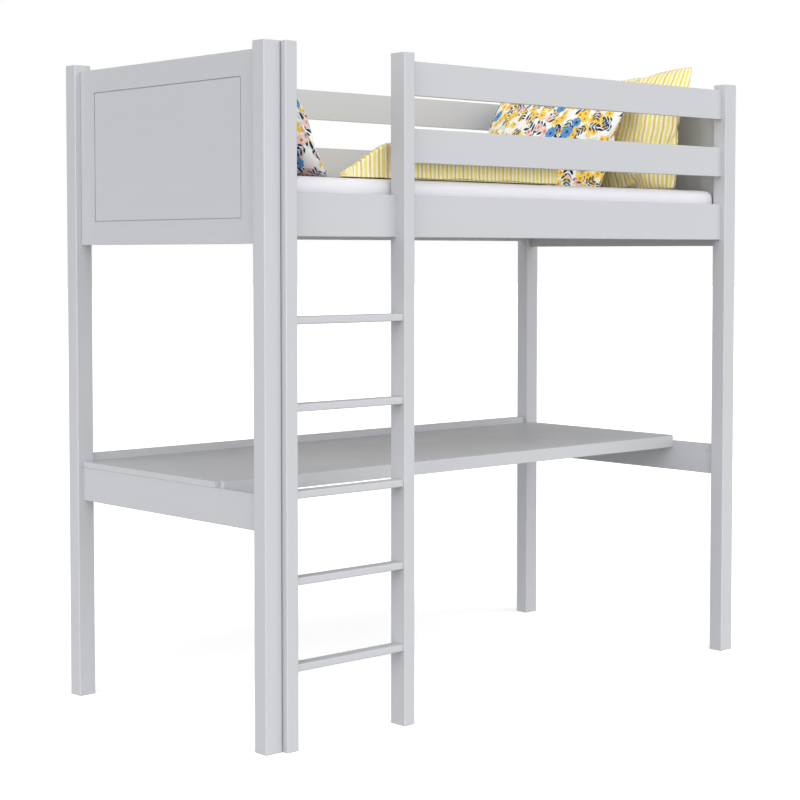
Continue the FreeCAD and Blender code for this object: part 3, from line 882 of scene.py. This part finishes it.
CAMERA_PLACE = (-4.1802, -4.4850, 1.3881)
CAMERA_TURN = -42.335  # degrees from +Y
CAMERA_DOWN = 2.839  # degrees below level
CAMERA_LENS = 83.514
CAMERA_SHIFT = -0.0675
FLOOR_HALF = 60
FLOOR_PALE = ((0.94, 0.94, 0.94, 1), (0.96, 0.96, 0.96, 1))
WHITE = (1.0, 1.0, 1.0, 1)
FILL_STRENGTH = 0.07
FRONT_STRENGTH = 4.0
LEFT_STRENGTH = 0.6
KEY_STRENGTH = 1.65
RIM_STRENGTH = 0.75
FLOOR_GLOW = 0.48  # the floor's own light, which keeps its shadows as pale as on a lit white sweep


def camera():
    """A long lens to the left of the front, at about the height of the bed's underside."""
    data = bpy.data.cameras.new("camera")
    data.lens = CAMERA_LENS
    data.sensor_width = 36
    data.shift_y = CAMERA_SHIFT
    data.clip_end = 200
    made = bpy.data.objects.new("camera", data)
    made.location = CAMERA_PLACE
    made.rotation_euler = (math.radians(90 - CAMERA_DOWN), 0, math.radians(CAMERA_TURN))
    bpy.context.scene.collection.objects.link(made)
    bpy.context.scene.camera = made


def studio_floor():
    """A wide pale floor, which throws no light back up at the bed."""
    mesh = bpy.data.meshes.new("studio_floor")
    half = FLOOR_HALF
    corners = [(-half, -half, 0), (half, -half, 0), (half, half, 0), (-half, half, 0)]
    mesh.from_pydata(corners, [], [(0, 1, 2, 3)])
    floor = bpy.data.objects.new("studio_floor", mesh)
    bpy.context.scene.collection.objects.link(floor)
    material, tree, shader = new_material("studio_floor")
    patch = noise_at(tree, object_point(tree), 0.6, 2, 0.5)
    colour = mix_colour(tree, patch, *FLOOR_PALE)
    wire(tree, shader, Base_Color=colour, Roughness=0.9, Emission_Color=WHITE)
    shader.inputs["Emission Strength"].default_value = FLOOR_GLOW
    mesh.materials.append(material)
    floor.visible_diffuse = False


def soft_sun(name, towards, spread, strength):
    """Even light from very large, distant panels: a direction and how wide they look."""
    data = bpy.data.lights.new(name, "SUN")
    data.angle = math.radians(spread)
    data.energy = strength
    light = bpy.data.objects.new(name, data)
    light.rotation_euler = Vector(towards).to_track_quat("-Z", "Y").to_euler()
    bpy.context.scene.collection.objects.link(light)


def studio():
    """White surroundings, dim as a light, with broad panels in front, on the left and behind."""
    world = bpy.data.worlds.new("studio")
    bpy.context.scene.world = world
    world.use_nodes = True
    tree = world.node_tree
    fill = node(tree, "ShaderNodeBackground", {"Color": WHITE, "Strength": FILL_STRENGTH})
    seen = node(tree, "ShaderNodeBackground", {"Color": WHITE, "Strength": 1.0})
    straight = node(tree, "ShaderNodeLightPath").outputs["Is Camera Ray"]
    mixed = node(tree, "ShaderNodeMixShader", {0: straight, 1: fill.outputs[0], 2: seen.outputs[0]})
    tree.links.new(mixed.outputs[0], tree.nodes["World Output"].inputs["Surface"])
    soft_sun("front", (0, 1, -0.25), 130, FRONT_STRENGTH)
    soft_sun("left", (1, 0, -0.25), 130, LEFT_STRENGTH)
    soft_sun("key", (1, 0, -0.36), 60, KEY_STRENGTH)
    soft_sun("rim", (-0.7, -0.7, -0.15), 90, RIM_STRENGTH)
    bpy.context.scene.view_settings.view_transform = "Standard"


camera()
studio_floor()
studio()
finish_frame()

white_cotton = white_sheet()
striped = striped_cotton()
mattress()
duvet()
floral_coral = floral_cotton("floral_coral", 0.46)
pillow("pillow_floral_left", floral_coral, (0.65, 0.430, 0.135), -30)
pillow(
    "pillow_striped", striped, (0.69, 0.448, 0.13), 16,
    roll=3, bow=0.018, nudge=-0.006, seed=5.0,
)
floral_gold = floral_cotton("floral_gold", 0.56)
pillow(
    "pillow_floral_right", floral_gold, (0.66, 0.42, 0.115), 27,
    bow=0.010, nudge=-0.008, seed=9.0,
)
